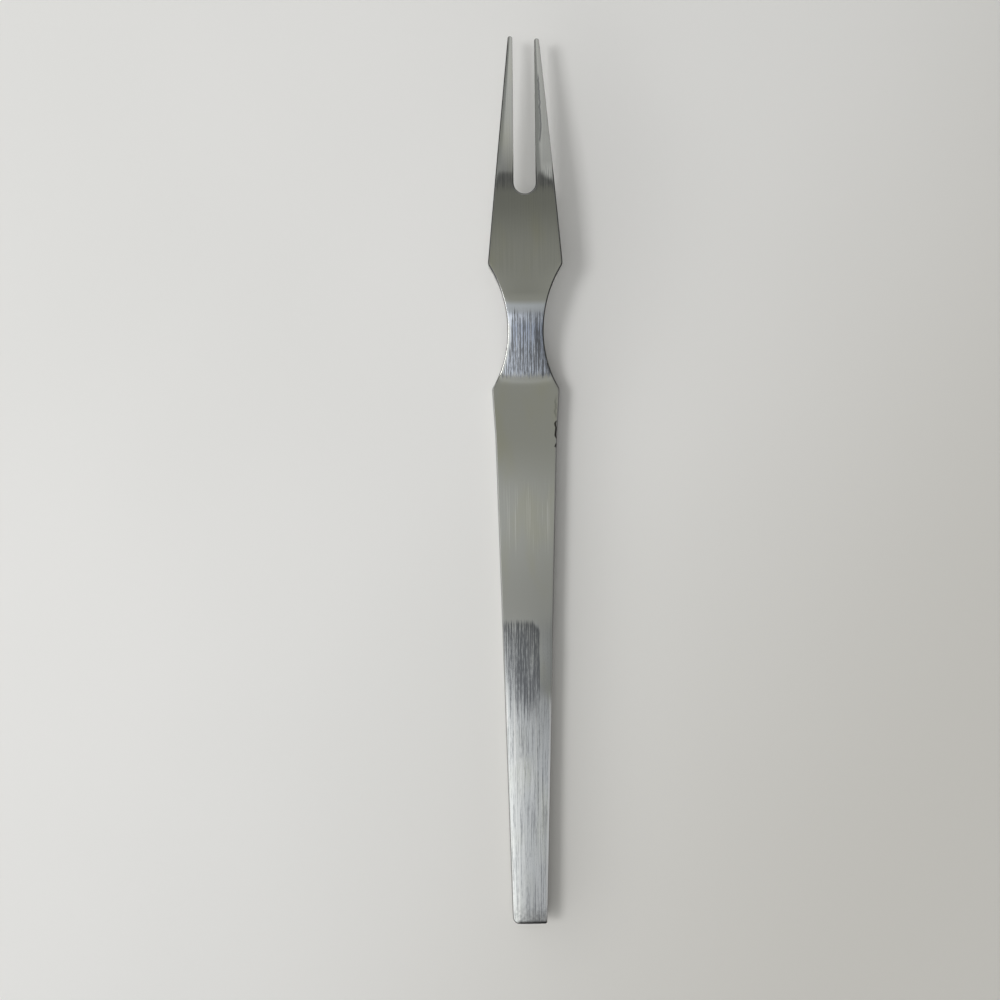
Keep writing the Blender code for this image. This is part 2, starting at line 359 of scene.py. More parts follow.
def half_width(y, y_tip):
    """Half the fork's width: the stamped outline, averaged over a short stretch at each place."""
    offsets = np.linspace(-0.5, 0.5, EASE_SAMPLES) * CORNER_EASE
    return stamped_half_width(y[..., None] + offsets, y_tip).mean(axis=-1)


# Its profile: the handle lies flat but for its curled end, the neck ramps up to the head, and the
# tines bow down again.
HANDLE_THICKNESS = 0.0031
HEAD_THICKNESS = 0.0022
TIP_THICKNESS = 0.0010
HEAD_RISE = 0.0029             # step up from the handle to the head
RAMP_START = 0.0017            # foot of the ramp, past the handle's shoulder
RAMP_LENGTH = 0.0138
FOOT_BEND = 0.0014             # the bar bends over this stretch either side of the ramp's foot
TOP_BEND = 0.0022              # and of its top
CREST_RISE = 0.0005            # further rise from the ramp to the root of the tines
TINE_BEND_START = 0.0012       # the tines bend down this far past the slot's root
TINE_BEND = 0.0010             # over this stretch to either side
TINE_SLOPE = 0.050
TIP_BOW = 0.0007               # and bow this much further down over their length
END_LIFT = 0.0005              # how far the handle's end curls off the table
END_ROLL = 0.00009             # its last stretch is rolled off this much
END_ROLL_LENGTH = 0.0030
REST_LENGTH = 0.0486           # flat stretch under the handle, back from where the bar first bends
Y_RAMP = Y_SHOULDER + RAMP_START
Y_RAMP_TOP = Y_RAMP + RAMP_LENGTH
Y_REST = Y_RAMP - FOOT_BEND - REST_LENGTH
Y_TINE_BEND = Y_ROOT + TINE_BEND_START


def past(value, bend):
    """How far a value is past zero, 0 before it, with a round bend of this reach to either side."""
    within = np.clip(value, -bend, bend) + bend
    return within ** 2 / (4 * bend) + np.maximum(value - bend, 0.0)


def ramp_share(y):
    """Share of the step up that is climbed at y: a straight ramp, bent round at its foot and top."""
    return (past(y - Y_RAMP, FOOT_BEND) - past(y - Y_RAMP_TOP, TOP_BEND)) / RAMP_LENGTH


def top_height(y):
    """Height of the upper side's middle: end curl, flat handle, ramp up the neck, bow of the tines."""
    behind = np.maximum((Y_REST - y) / (Y_REST - Y_END), 0.0)
    rolled = END_ROLL * np.maximum((Y_END + END_ROLL_LENGTH - y) / END_ROLL_LENGTH, 0.0) ** 2
    crest = CREST_RISE * ease(y, Y_RAMP_TOP, Y_ROOT)
    bent = TINE_SLOPE * past(y - Y_TINE_BEND, TINE_BEND)
    bowed = TIP_BOW * np.maximum((y - Y_TINE_BEND) / (Y_TIP - Y_ROOT), 0.0) ** 2
    lifted = END_LIFT * behind ** 2 - rolled
    return HANDLE_THICKNESS + lifted + HEAD_RISE * ramp_share(y) + crest - bent - bowed


def thickness(y):
    """Thickness of the bar: even along the handle, thinned up the neck, tapered along the tines."""
    thinned = (HANDLE_THICKNESS - HEAD_THICKNESS) * ramp_share(y)
    beyond = np.maximum((y - Y_ROOT) / (Y_TIP - Y_ROOT), 0.0)
    return HANDLE_THICKNESS - thinned - (HEAD_THICKNESS - TIP_THICKNESS) * beyond


# Its ground and worn faces: the neck and the handle are crowned and worn down along their left, the
# left tine is rolled off along its outer edge, and the right tine is ground to two facets.
WORN_DEPTH = 0.00008           # the left of the neck and the rear handle is worn down this much
WORN_WIDTH = 0.0009            # over this width
NECK_CROWN = 0.00007           # how much higher the middle of the neck is than its sides
REAR_CROWN = 0.00009           # and of the handle's rear
FRONT_CROWN = 0.00002          # and of its front
NECK_WORN_FOOT = (Y_SHOULDER, Y_SHOULDER + 0.003)
NECK_WORN_TOP = (Y_HEAD, Y_HEAD - 0.008)
REAR_WORN = (-0.032, -0.052)
TINE_GROUND = (Y_ROOT - 0.0005, Y_ROOT + 0.004)
TINE_ROLL = 0.00007            # the left tine is rolled off this much
TINE_ROLL_WIDTH = 0.0014       # over this width, and half the tine's at most
TINE_ROLL_LEAST = 0.00006
RIDGE_SLOPE = 0.09             # slope of the two facets of the right tine
RIDGE_SOFT = 0.00010
RIDGE_SHARE = 0.42             # how far across the tine their ridge lies
RIDGE_INSET = 0.00085          # and how far from the slot at most
RIDGE_BULGE = 0.00030          # it runs this much further out
BULGE_START = 0.0085           # from this far past the slot's root
BULGE_LENGTH = 0.0020          # after a bend of this length
Y_BULGE = Y_ROOT + BULGE_START
RIDGE_BEND = (Y_BULGE, Y_BULGE + BULGE_LENGTH)


def ground_drop(x, y, y_tip):
    """How far the upper side lies below its middle: crowned bar, rolled left tine, ridged right tine."""
    outer = half_width(y, y_tip)
    inner = SLOT_WIDTH / 2
    neck = ease(y, *NECK_WORN_FOOT) * ease(y, *NECK_WORN_TOP)
    rear = ease(y, *REAR_WORN)
    front = ease(y, Y_HEAD, Y_SHOULDER)
    to_edge = np.maximum(1 - (outer + x) / WORN_WIDTH, 0.0)
    crown = (FRONT_CROWN * front + NECK_CROWN * neck + REAR_CROWN * rear) * (x / outer) ** 2
    crown = crown + WORN_DEPTH * np.maximum(neck, rear) * to_edge ** 2
    roll_width = np.clip((outer - inner) / 2, TINE_ROLL_LEAST, TINE_ROLL_WIDTH)
    rolled_tine = TINE_ROLL * np.maximum(1 - (outer + x) / roll_width, 0.0) ** 2
    inset = RIDGE_INSET + RIDGE_BULGE * ease(y, *RIDGE_BEND)
    from_ridge = x - inner - np.minimum((outer - inner) * RIDGE_SHARE, inset)
    ridged_tine = RIDGE_SLOPE * (np.hypot(from_ridge, RIDGE_SOFT) - RIDGE_SOFT)
    tine = np.where(x < 0, rolled_tine, ridged_tine)
    share = ease(y, *TINE_GROUND)
    return crown * (1 - share) + tine * share


# Its edges: broken to a small rounding all round, but crisp on the right of the rear handle and of
# the right tine, along the slot and at the tips. The handle's end has one round and one sharp corner.
END_RADIUS_LEFT = 0.0012
END_RADIUS_RIGHT = 0.0004
EDGE_ROUND = 0.00030           # rounding of the edges
CRISP_ROUND = 0.00006          # and where they are still crisp
CRISP_REAR = (-0.028, -0.034)
CRISP_TINE = (Y_ROOT, Y_ROOT + 0.005)
CRISP_SLOT = (Y_ROOT, Y_ROOT + 0.007)
CRISP_TIP = (Y_TIP - 0.0020, Y_TIP - 0.0010)
END_STEPS = 10
CORNER_STEPS = 10
HANDLE_STEPS = 300
NECK_STEPS = 110
HEAD_STEPS = 60
ROOT_STEPS = 24
TINE_STEPS = 120
TIP_STEPS = 10
FLAT_STEPS = 12
ROUND_STEPS = 7
Y_SIDE = Y_END + max(END_RADIUS_LEFT, END_RADIUS_RIGHT) + EDGE_ROUND
Y_OPEN = Y_ROOT - SLOT_WIDTH / 2 - EDGE_ROUND
ROW_NECK = END_STEPS + CORNER_STEPS + HANDLE_STEPS
ROW_HEAD = ROW_NECK + NECK_STEPS
ROW_OPEN = ROW_HEAD + HEAD_STEPS
ROW_TINE = ROW_OPEN + ROOT_STEPS
ZONE_ROWS = {
    "handle": (0, ROW_NECK),
    "neck": (ROW_NECK, ROW_HEAD),
    "head": (ROW_HEAD, ROW_TINE),
    "tine": (ROW_TINE, ROW_TINE + TINE_STEPS + TIP_STEPS),
}
WELD = 0.000002                # points closer than this become one
SHARP_ANGLE = math.radians(60)


def stretch(start, stop, steps):
    """Evenly spaced values from start up to, but without, stop."""
    return np.linspace(start, stop, steps, endpoint=False)


def turn(centre, radius, start, stop, steps):
    """Points on a circle, from one angle in degrees up to, but without, another."""
    angle = np.radians(stretch(start, stop, steps))
    return np.stack([centre[0] + radius * np.cos(angle), centre[1] + radius * np.sin(angle)], axis=-1)


def points(x, y):
    """Plan points from their two coordinates, either of which may be one number."""
    return np.stack(np.broadcast_arrays(x, y), axis=-1)


def outer_edge(end_radius, y_tip):
    """Right half of the plan's outer edge: end, corner, side and tip, as rows of points."""
    half_end = END_WIDTH / 2
    y_last = y_tip - TIP_RADIUS
    side_y = np.concatenate([
        stretch(Y_SIDE, Y_SHOULDER, HANDLE_STEPS),
        stretch(Y_SHOULDER, Y_HEAD, NECK_STEPS),
        stretch(Y_HEAD, Y_OPEN, HEAD_STEPS),
        stretch(Y_OPEN, Y_ROOT, ROOT_STEPS),
        stretch(Y_ROOT, y_last, TINE_STEPS),
    ])
    return np.concatenate([
        points(stretch(0, half_end - end_radius, END_STEPS), Y_END),
        turn((half_end - end_radius, Y_END + end_radius), end_radius, -90, 0, CORNER_STEPS),
        points(half_width(side_y, y_tip), side_y),
        turn((TIP_SPREAD / 2 - TIP_RADIUS, y_last), TIP_RADIUS, 0, 90, TIP_STEPS),
        [(TIP_SPREAD / 2 - TIP_RADIUS, y_tip)],
    ])


def slot_edge(y_tip):
    """Right half of the slot: round root, straight wall and the inner side of the tip."""
    y_last = y_tip - TIP_RADIUS
    return np.concatenate([
        turn((0, Y_ROOT), SLOT_WIDTH / 2, -90, 0, ROOT_STEPS),
        points(SLOT_WIDTH / 2, stretch(Y_ROOT, y_last, TINE_STEPS)),
        turn((SLOT_WIDTH / 2 + TIP_RADIUS, y_last), TIP_RADIUS, 180, 90, TIP_STEPS),
        [(SLOT_WIDTH / 2 + TIP_RADIUS, y_tip)],
    ])


def left_of(path):
    """Unit directions to the left of a path of plan points."""
    heading = np.gradient(path, axis=0)
    heading /= np.linalg.norm(heading, axis=1, keepdims=True)
    return points(-heading[:, 1], heading[:, 0])


def edge_radius(y, crisp):
    """Radius of the rounded edge at y: less where crisp, from 0 to 1, says so, and at the tips."""
    crisp = np.maximum(crisp, ease(y, *CRISP_TIP))
    return EDGE_ROUND + (CRISP_ROUND - EDGE_ROUND) * crisp


def rounded_edge(edge, inward, radius, top, bottom):
    """Grid down an edge: quarter circle, upright wall, quarter circle; radius, top and bottom by row.

    A fourth number goes with each point: how far the surface is turned upright there, from 0 to 1.
    """
    angle = np.radians(np.linspace(0, 90, ROUND_STEPS + 1))
    inset = radius[:, None] * (1 - np.sin(angle))
    sunk = radius[:, None] * (1 - np.cos(angle))
    inset = np.concatenate([inset, inset[:, ::-1]], axis=1)
    height = np.concatenate([top[:, None] - sunk, bottom[:, None] + sunk[:, ::-1]], axis=1)
    plan = edge[:, None] + inset[..., None] * inward[:, None]
    upright = np.broadcast_to(np.concatenate([np.sin(angle), np.sin(angle)[::-1]]), height.shape)
    return np.concatenate([plan, height[..., None], upright[..., None]], axis=-1)


def half_bar(side, end_radius, y_tip):
    """Two grids of half the bar: over its outer edge from spine to spine, and down its slot edge.

    Row by row, a point of the outer edge has a partner on the spine, which is the centre line up
    to the slot and the slot's edge beyond it. The upper and the lower side run straight from one
    to the other, inside the roundings. side is 1 for the right half and -1 for the left.
    """
    def top(plan):
        """Height of the upper side: that of its middle, less what is ground off."""
        return top_height(plan[..., 1]) - ground_drop(side * plan[..., 0], plan[..., 1], y_tip)

    def bottom(plan):
        """Height of the lower side: the bar's thickness below the upper side's middle."""
        return top_height(plan[..., 1]) - thickness(plan[..., 1])

    outer = outer_edge(end_radius, y_tip)
    inward = left_of(outer)
    y = outer[:, 1]
    crisp = np.maximum(ease(y, *CRISP_REAR) * ease(y, Y_END, Y_SIDE), ease(y, *CRISP_TINE))
    radius = edge_radius(y, crisp * (side > 0))
    rim = outer + radius[:, None] * inward
    slot = slot_edge(y_tip)
    slot_inward = -left_of(slot)
    slot_inward[0] = (0, -1)
    slot_radius = edge_radius(slot[:, 1], ease(slot[:, 1], *CRISP_SLOT))
    slot_rim = slot + slot_radius[:, None] * slot_inward

    end_rows = END_STEPS + CORNER_STEPS
    spine = points(0.0, outer[:, 1])
    spine[:end_rows, 1] = stretch(Y_END + EDGE_ROUND, Y_SIDE, end_rows)
    spine[ROW_OPEN:] = slot_rim

    share = np.linspace(0, 1, FLAT_STEPS + 1)[:-1, None]
    flat = spine[:, None] + share * (rim - spine)[:, None]
    level = np.zeros((*flat.shape[:2], 1))
    upper = np.concatenate([flat, top(flat)[..., None], level], axis=-1)
    lower = np.concatenate([flat, bottom(flat)[..., None], level], axis=-1)[:, ::-1]
    over_edge = rounded_edge(outer, inward, radius, top(rim), bottom(rim))
    down_slot = rounded_edge(slot, slot_inward, slot_radius, top(slot_rim), bottom(slot_rim))
    over = np.concatenate([upper, over_edge, lower], axis=1)
    return over * (side, 1, 1, 1), down_slot * (side, 1, 1, 1)


def grid_faces(rows, columns, first):
    """Quads of a grid of points that are numbered row by row from first."""
    corner = first + np.arange(rows - 1)[:, None] * columns + np.arange(columns - 1)
    quads = np.stack([corner, corner + 1, corner + columns + 1, corner + columns], axis=-1)
    return quads.reshape(-1, 4)


def zone_mesh(name, zone, halves):
    """Closed mesh of one zone: its rows of each half's grids, welded, with its cut faces filled.

    Its brushing attribute is the surface rolled out flat: x, with the way down the edges added to
    it, y, and how far the surface is turned upright.
    """
    first, last = ZONE_ROWS[zone]
    grids = []
    for over, down_slot in halves:
        grids.append(over[first:last + 1])
        if last > ROW_OPEN:
            grids.append(down_slot[max(first - ROW_OPEN, 0):last - ROW_OPEN + 1])
    counts = np.cumsum([0] + [grid.shape[0] * grid.shape[1] for grid in grids])
    faces = [grid_faces(*grid.shape[:2], start) for grid, start in zip(grids, counts)]
    mesh = bpy.data.meshes.new(name)
    x, y, z, upright = np.concatenate([grid.reshape(-1, 4) for grid in grids]).T
    mesh.from_pydata(np.stack([x, y, z], axis=-1).tolist(), [], np.concatenate(faces).tolist())
    brushing = mesh.attributes.new("brushing", "FLOAT_VECTOR", "POINT")
    rolled_out = np.stack([x + top_height(y) - z, y, upright], axis=-1)
    brushing.data.foreach_set("vector", rolled_out.ravel())
    work = bmesh.new()
    work.from_mesh(mesh)
    bmesh.ops.remove_doubles(work, verts=work.verts, dist=WELD)
    bmesh.ops.holes_fill(work, edges=[edge for edge in work.edges if edge.is_boundary], sides=0)
    bmesh.ops.recalc_face_normals(work, faces=work.faces)
    work.to_mesh(mesh)
    work.free()
    mesh.shade_smooth()
    mesh.set_sharp_from_angle(angle=SHARP_ANGLE)
    return mesh


# Its finish: brushed lengthwise, and still even on the head and the front of the handle. The neck
# and the rear of the handle are worn to coarse streaks.
STEEL = (*frame["record"]["materials"][0]["base_color"], 1.0)
STEEL_WARM = (0.56, 0.565, 0.50, 1.0)
STEEL_BLUE = (0.49, 0.545, 0.66, 1.0)
STEEL_BRIGHT = (0.72, 0.72, 0.70, 1.0)
# The pale colour below is painted highlight, for the bend at the top of the ramp.
STEEL_PAINTED_HIGHLIGHT = (0.66, 0.70, 0.76, 1.0)
STEEL_STREAK = (0.15, 0.157, 0.165, 1.0)
STEEL_WALL = (0.40, 0.40, 0.39, 1.0)

NOISE_MEAN = 0.5
RAGGED = 0.0036                # how far the streaks' ends are spread
NECK_FOOT = (Y_RAMP + 0.0002, Y_RAMP + 0.0016)
NECK_TOP = (Y_RAMP_TOP - 0.0006, Y_RAMP_TOP - 0.0026)
NECK_LEFT = (0.0004, 0.0010)   # from the neck's left edge
Y_WORN = -0.0263               # behind this the handle is worn
REAR_START = (Y_WORN, Y_WORN - 0.003)
# The dark patch on the rear is painted reflection, a dark mirror image laid into the colour, with
# streaks through it.
REAR_WHOLE = (-0.0395, -0.0435)  # behind this it is worn right across
PATCH_START = (Y_WORN, Y_WORN - 0.0016)
PATCH_NOTCH = 0.0015           # how far the start of the dark patch is notched
PATCH_SKEW = (0.0006, 0.0024)  # towards its right it starts later
PATCH_SKEW_LENGTH = 0.0014     # by this much
PATCH_END = (-0.0485, -0.0395)
PATCH_LEFT = (-0.001, -0.004)  # and towards its left it ends sooner
PATCH_LEFT_LENGTH = 0.003      # by this much
PATCH_RIGHT = (0.0024, 0.0021)
ROOT_START = (Y_ROOT - 0.0022, Y_ROOT - 0.0006)
ROOT_END = (Y_ROOT + 0.0034, Y_ROOT + 0.0014)
ROOT_LEFT = (0.001, -0.001)    # the left tine is worn less far along
ROOT_LEFT_LENGTH = 0.0008      # by this much


def worn_neck(x, y, ragged):
    """1 on the ramp of the neck, with ragged ends, and 0 off it and along its left edge."""
    from_waist = y - Y_WAIST
    from_left = x + WAIST_WIDTH / 2 + from_waist * from_waist / (2 * SCALLOP_RADIUS_BELOW)
    return ragged.rise(*NECK_FOOT) * ragged.rise(*NECK_TOP) * from_left.rise(*NECK_LEFT)


def worn_rear(x, y, ragged):
    """1 on the rear of the handle: left of the patch's right side, and further back right across."""
    return ragged.rise(*REAR_START) * x.rise(*PATCH_RIGHT).most(y.rise(*REAR_WHOLE))


def painted_reflection_patch(x, y, teeth):
    """1 on the rear's patch of painted reflection: notched start, straight right side, fading end."""
    notched = y + (teeth - NOISE_MEAN) * PATCH_NOTCH + x.rise(*PATCH_SKEW) * PATCH_SKEW_LENGTH
    ending = y - x.rise(*PATCH_LEFT) * PATCH_LEFT_LENGTH
    return notched.rise(*PATCH_START) * ending.rise(*PATCH_END) * x.rise(*PATCH_RIGHT)


def worn_root(x, ragged):
    """1 about the root of the slot, with ragged ends."""
    ending = ragged + x.rise(*ROOT_LEFT) * ROOT_LEFT_LENGTH
    return ragged.rise(*ROOT_START) * ending.rise(*ROOT_END)


# Dark streaks cover a mean share of each worn zone, and stand out by its contrast.
NECK_DARK = 0.46
NECK_FOOT_DARK = 0.18          # more towards its foot
NECK_RIGHT_CLEAR = 0.24        # less towards its right
NECK_RIGHT_DARK = 0.32         # but more at the right of its foot
NECK_LOWER = (0.031, 0.024)
NECK_ACROSS = (-0.003, 0.0035)
# On the rear's patch the dark is painted reflection, with the streaks running through it.
PATCH_PAINTED_DARK = 0.88
PATCH_LEFT_CLEAR = 0.16        # less towards its left
PATCH_END_CLEAR = 0.50         # and there still less towards its end
PATCH_FADE = (-0.028, -0.034)
REAR_DARK = 0.08
ROOT_DARK = 0.12
NECK_CONTRAST = 10.0
PATCH_CONTRAST = 6.6
REAR_CONTRAST = 5.0
ROOT_CONTRAST = 3.0
DARKEST = 0.95


def dark_streaks(x, y, grain, neck, rear, patch, root):
    """Share of dark steel: the mean share, plus the grain's departure from its mean times contrast."""
    lower = y.rise(*NECK_LOWER)
    right = x.rise(*NECK_ACROSS) * (lower * NECK_RIGHT_DARK - NECK_RIGHT_CLEAR)
    neck_share = neck * (NECK_DARK + lower * NECK_FOOT_DARK + right)
    clear = PATCH_LEFT_CLEAR + y.rise(*PATCH_FADE) * PATCH_END_CLEAR
    painted_reflection_share = patch * (PATCH_PAINTED_DARK - x.rise(*PATCH_LEFT) * clear)
    share = neck_share.most(painted_reflection_share, rear * REAR_DARK, root * ROOT_DARK)
    contrast = (neck * NECK_CONTRAST).most(patch * PATCH_CONTRAST, rear * REAR_CONTRAST)
    contrast = contrast.most(root * ROOT_CONTRAST)
    return (share + (grain - NOISE_MEAN) * contrast).most(0.0).math("MINIMUM", DARKEST)


# Bright lines run the length of the rear, and a thin bright line runs along its right rim.
LONG_LINES = (4400.0, 15.0, 2.0)
LONG_LINE = (0.55, 0.66)       # span of the noise
PATCH_COVER = 0.7              # share of them that the dark patch hides
RIM = (0.00042, 0.00018)       # from the handle's right edge
HANDLE_TAPER = (SHOULDER_WIDTH - END_WIDTH) / 2 / (Y_SHOULDER - Y_END)


def bright_lines(x, y, brushing, rear, patch):
    """Share of bright steel on the rear: long thin noise, less on the patch, and the right rim."""
    lines = brushing.noise(LONG_LINES).rise(*LONG_LINE) * (1.0 - patch * PATCH_COVER)
    from_right = (y - Y_END) * HANDLE_TAPER + END_WIDTH / 2 - x
    return lines.most(from_right.rise(*RIM) * y.rise(*REAR_WHOLE)) * rear


# The grinding has left a dull burr along the ridge of the right tine.
BURR_WIDTH = (0.00022, 0.00006)
BURR_WOBBLE = 0.0004
BURR_START = (Y_BULGE - 0.0012, Y_BULGE)
BURR_END = (Y_TIP - 0.007, Y_TIP - 0.009)
HEAD_TAPER = (TIP_SPREAD - HEAD_WIDTH) / 2 / (Y_TIP_RIGHT - TIP_RADIUS - Y_HEAD)


def ridge_burr(x, y, wobble):
    """1 along the ridge between the right tine's facets, from its bulge to short of the tip."""
    tine_width = (y - Y_HEAD) * HEAD_TAPER + (HEAD_WIDTH - SLOT_WIDTH) / 2
    inset = RIDGE_INSET + y.rise(*RIDGE_BEND) * RIDGE_BULGE
    from_ridge = x - SLOT_WIDTH / 2 - (tine_width * RIDGE_SHARE).math("MINIMUM", inset)
    burr = (from_ridge + wobble * BURR_WOBBLE).math("ABSOLUTE").rise(*BURR_WIDTH)
    return burr * y.rise(*BURR_START) * y.rise(*BURR_END)


# A row of pits lies along the right edge of the handle, and ends in a scuff.
PIT = (0.020, 0.018, 0.015, 1.0)
PIT_X = 0.00574
PIT_Y = ((0.0064, 0.0075), (0.0081, 0.0119))
PIT_RISE = 0.0003
PIT_FALL = 0.0004
PIT_WIDTH = (0.00026, 0.00012)
PIT_WOBBLE = 0.0012
SCUFF_START = (0.0118, 0.0130)
SCUFF_END = (Y_SHOULDER - 0.001, Y_SHOULDER - 0.003)


def pitted_edge(x, y, wobble):
    """1 in the pits, and 1 on the scuff, both within the width of one wavering row."""
    in_row = (x - PIT_X + wobble * PIT_WOBBLE).math("ABSOLUTE").rise(*PIT_WIDTH)
    pits = sum(y.rise(low, low + PIT_RISE) * y.rise(high, high - PIT_FALL) for low, high in PIT_Y)
    return in_row * pits, in_row * y.rise(*SCUFF_START) * y.rise(*SCUFF_END)


# The rounded edges are painted near black on the tines, the head and the right of the neck, as
# painted shade for their dark outline, grey along the front of the handle, and worn bright along its
# rear and the left of the neck.
EDGE_GREY = (0.24, 0.24, 0.235, 1.0)
# The near-black edge colour is painted shade, for the dark outline of the edges.
EDGE_PAINTED_DARK = (0.02, 0.02, 0.02, 1.0)
EDGE_WORN = (0.34, 0.34, 0.335, 1.0)
EDGE_NECK = (0.21, 0.21, 0.206, 1.0)
DARK_EDGE_HEAD = (Y_HEAD - 0.0065, Y_HEAD - 0.0010)
DARK_EDGE_RIGHT = (Y_SHOULDER - 0.001, Y_SHOULDER + 0.001)
RIGHT_HALF = (-0.001, 0.001)
GREY_START = (-0.042, -0.038)
GREY_END = (Y_SHOULDER + 0.0015, Y_SHOULDER)
AT_NECK = (Y_SHOULDER, Y_SHOULDER + 0.002)


def edge_finish(x, y):
    """Colour of the rounded edges, and the share of them that is painted dark or grey instead of bright.
    """
    grey = y.rise(*GREY_START) * y.rise(*GREY_END)
    painted_dark_edge = y.rise(*DARK_EDGE_HEAD).most(x.rise(*RIGHT_HALF) * y.rise(*DARK_EDGE_RIGHT))
    worn = y.rise(*AT_NECK).blend(EDGE_WORN, EDGE_NECK)
    return painted_dark_edge.blend(grey.blend(worn, EDGE_GREY), EDGE_PAINTED_DARK), painted_dark_edge.most(grey)


# The grain of the brushing, per metre across and along the fork and per turn over an edge.
FINE_LINES = (5200.0, 60.0, 0.0)
COARSE_LINES = (2400.0, 45.0, 0.0)
DASHES = (4200.0, 130.0, 3.0)
SPECKS = (6200.0, 900.0, 11.0)
TEETH = (2600.0, 0.0, 9.0)
STAINS = (150.0, 60.0, 7.0)
MOTTLE = (1500.0, 1100.0, 5.0)
WOBBLE = (0.0, 700.0, 0.0)
LINE_DETAIL = 3.0
MOTTLE_DETAIL = 4.0
FINE_SHARE = 0.25              # make-up of the streaks
DASH_SHARE = 0.55
SPECK_SHARE = 0.20
STREAK_DEPTH = 0.0000015       # relief of the brushing
FINE_DEPTH = 0.3               # part of it that the fine lines have
BRUSHED_ALONG = (0.02, 1.0, 0.03)
STEEL_SPECULAR = 0.1
GLINT_STRETCH = 0.5            # glints are drawn out across the brushing
QUARTER_TURN = 0.25

# What each mark does to the steel: its span, where it has one of its own, and its share.
STAINED = (0.45, 0.70)
HEAD_LINES = (0.35, 0.65)
HEAD_LINES_START = (Y_HEAD - 0.004, Y_HEAD)
HEAD_LINES_SHARE = 0.07
NECK_BLUE = 0.60
NECK_UPPER_BLUE = 0.40         # more on its upper part
NECK_UPPER = (0.022, 0.031)
LIGHT_LINES = (0.50, 0.62)
HAIRS = (0.55, 0.68)           # fine bright lines on the front of the handle
HAIRS_START = (0.002, -0.002)
HAIRS_END = (-0.018, -0.006)
LIGHT_SHARE = 0.7
# The pale crest is painted highlight: a pale band laid along the bend at the top of the ramp.
CREST_ABOVE = (Y_RAMP_TOP + 0.0010, Y_RAMP_TOP - 0.0002)
CREST_BELOW = (Y_RAMP_TOP - 0.0044, Y_RAMP_TOP - 0.0022)
CREST_HIGHLIGHT_SHARE = 0.9
REAR_BLUE = 0.12
LONG_LINE_SHARE = 0.8
RUBBED = (0.40, 0.65)
RUBBED_END = (Y_END + 0.0050, Y_END + 0.0012)
RUBBED_SHARE = 0.4
BURR_SHARE = 0.75
SCUFF_SHARE = 0.35
# The end's edge is painted near black as well: painted shade for a dark line along it.
END_DARK_LINE = (Y_END + 0.0009, Y_END + 0.0002)
END_CORNER = (-0.0028, -0.0018)
ROUNDED = (0.05, 0.45)         # how far an edge is turned upright
UPRIGHT = (0.90, 0.98)
BEND_REACH = (0.0040, 0.0010)  # from the ramp's foot or top
ROUGH_EVEN = 0.09
ROUGH_WORN = 0.08              # more where worn or bent
ROUGH_EDGE = 0.06
ROUGH_DULL = 0.35
ROUGH_WALL = 0.15


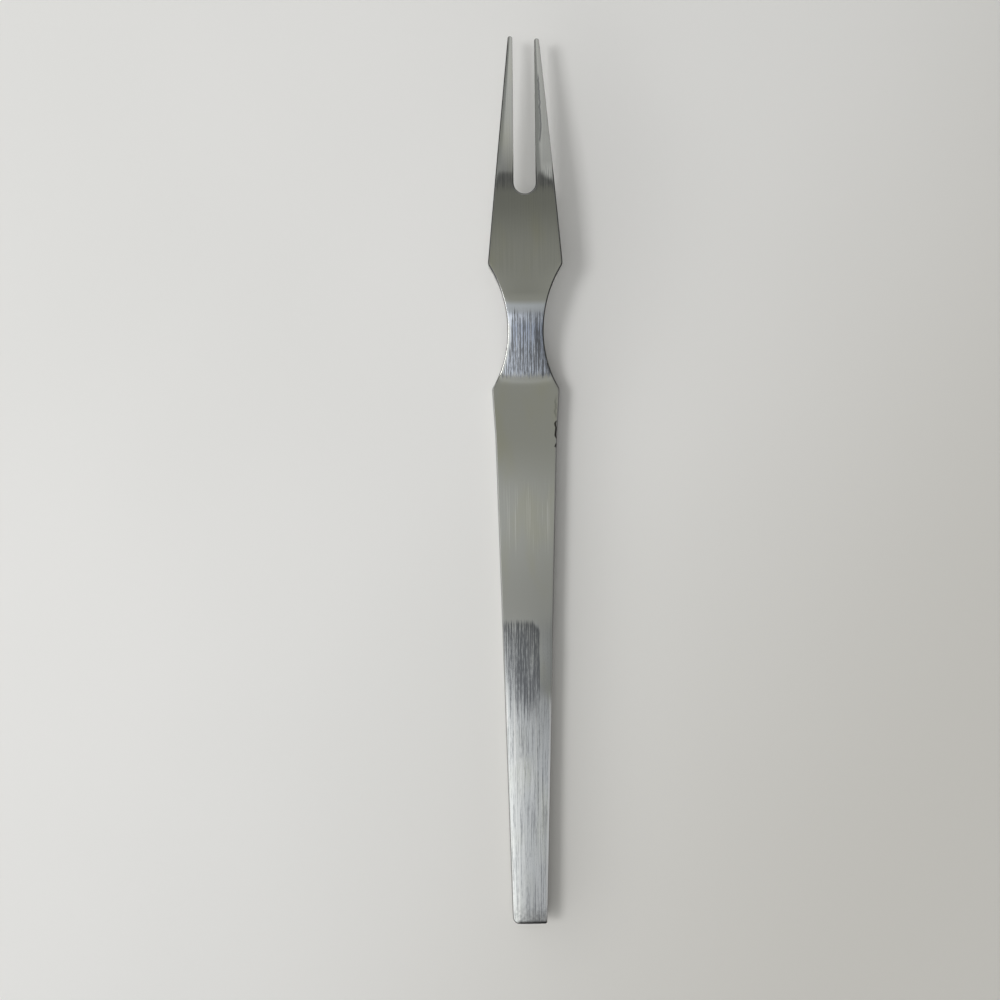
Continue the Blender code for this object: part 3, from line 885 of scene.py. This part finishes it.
def brushed_steel():
    """Steel brushed along Y: noise drawn out along the fork, in tone, gloss and height.

    Marks are laid over the even steel one by one: stains, the blue of the neck, light lines, the
    pale crest of the ramp as painted highlight, dark streaks and the rear's patch of painted
    reflection, long bright lines, dull rubs, then edges with painted shade, walls and pits.
    """
    material, start = shaded("brushed_steel")
    brushing = start.node("ShaderNodeAttribute", {"attribute_name": "brushing"}, output="Vector")
    x = brushing.axis("X")
    y = brushing.axis("Y")
    turned = brushing.axis("Z")
    fine = brushing.noise(FINE_LINES)
    coarse = brushing.noise(COARSE_LINES, LINE_DETAIL)
    grain = fine * FINE_SHARE + brushing.noise(DASHES, LINE_DETAIL) * DASH_SHARE
    grain = grain + brushing.noise(SPECKS) * SPECK_SHARE
    teeth = brushing.noise(TEETH)
    wobble = brushing.noise(WOBBLE) - NOISE_MEAN

    ragged = y + (teeth - NOISE_MEAN) * RAGGED
    neck = worn_neck(x, y, ragged)
    rear = worn_rear(x, y, ragged)
    # The rear's dark patch is painted reflection.
    patch = painted_reflection_patch(x, y, teeth)
    worn = neck.most(rear)
    streaks = dark_streaks(x, y, grain, neck, rear, patch, worn_root(x, ragged))
    light_lines = ((coarse + fine) / 2.0).rise(*LIGHT_LINES) * worn
    hairs = y.rise(*HAIRS_START) * y.rise(*HAIRS_END) * fine.rise(*HAIRS)
    head_lines = fine.rise(*HEAD_LINES) * y.rise(*HEAD_LINES_START)
    crest = y.rise(*CREST_ABOVE) * y.rise(*CREST_BELOW)
    rubbed = y.rise(*RUBBED_END) * brushing.noise(MOTTLE, MOTTLE_DETAIL).rise(*RUBBED)
    burr = ridge_burr(x, y, wobble)
    pits, scuff = pitted_edge(x, y, wobble)
    rubs = rubbed * RUBBED_SHARE + burr * BURR_SHARE + scuff * SCUFF_SHARE

    edge, dark_and_grey_edge = edge_finish(x, y)
    # Painted shade: a dark line along the end's edge.
    painted_dark_end = y.rise(*END_DARK_LINE) * x.rise(*END_CORNER)
    rounded = turned.rise(*ROUNDED)
    wall = turned.rise(*UPRIGHT)
    nonmetal_edge = dark_and_grey_edge * rounded * (1.0 - wall)

    tone = brushing.noise(STAINS).rise(*STAINED).blend(STEEL, STEEL_WARM)
    tone = (head_lines * HEAD_LINES_SHARE).blend(tone, STEEL_STREAK)
    tone = (neck * (NECK_BLUE + y.rise(*NECK_UPPER) * NECK_UPPER_BLUE)).blend(tone, STEEL_BLUE)
    tone = ((light_lines + hairs) * LIGHT_SHARE).blend(tone, STEEL_BRIGHT)
    # Painted highlight along the bend at the ramp's top.
    tone = (crest * CREST_HIGHLIGHT_SHARE).blend(tone, STEEL_PAINTED_HIGHLIGHT)
    tone = (rear * REAR_BLUE).blend(tone, STEEL_BLUE)
    tone = streaks.blend(tone, STEEL_STREAK)
    long_lines = bright_lines(x, y, brushing, rear, patch)
    tone = (long_lines * LONG_LINE_SHARE).blend(tone, STEEL_BRIGHT)
    tone = rubs.blend(tone, STEEL_STREAK)
    tone = painted_dark_end.blend(rounded.blend(tone, edge), EDGE_PAINTED_DARK)
    tone = wall.blend(tone, STEEL_WALL)

    from_foot = (y - Y_RAMP).math("ABSOLUTE")
    from_top = (y - Y_RAMP_TOP).math("ABSOLUTE")
    bend = from_foot.math("MINIMUM", from_top).rise(*BEND_REACH)
    roughness = ROUGH_EVEN + worn.most(bend) * ROUGH_WORN + rounded * ROUGH_EDGE
    roughness = roughness + nonmetal_edge * ROUGH_DULL + wall * ROUGH_WALL
    relief = start.node("ShaderNodeBump", inputs={
        "Strength": 1.0,
        "Distance": STREAK_DEPTH,
        "Height": coarse + fine * FINE_DEPTH,
    })
    steel = start.node("ShaderNodeBsdfPrincipled", inputs={
        "Base Color": pits.blend(tone, PIT),
        "Metallic": (1.0 - pits) * (1.0 - nonmetal_edge),
        "Roughness": roughness,
        "Specular IOR Level": STEEL_SPECULAR,
        "Anisotropic": GLINT_STRETCH,
        "Anisotropic Rotation": QUARTER_TURN,
        "Normal": relief,
        "Tangent": start.node("ShaderNodeCombineXYZ", inputs=enumerate(BRUSHED_ALONG)),
    })
    start.node("ShaderNodeOutputMaterial", inputs={"Surface": steel})
    return material


fork_steel = brushed_steel()
right_half = half_bar(1, END_RADIUS_RIGHT, Y_TIP_RIGHT)
left_half = half_bar(-1, END_RADIUS_LEFT, Y_TIP)
both_halves = (left_half, right_half)
for node, zone, halves in (
    ("handle", "handle", both_halves),
    ("neck", "neck", both_halves),
    ("head", "head", both_halves),
    ("left_tine", "tine", (left_half,)),
    ("right_tine", "tine", (right_half,)),
):
    zone_piece = bpy.data.objects.new("fork_" + node, zone_mesh("fork_" + node, zone, halves))
    zone_piece.data.materials.append(fork_steel)
    bpy.context.scene.collection.objects.link(zone_piece)
    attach(zone_piece, "root")
    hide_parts(node)
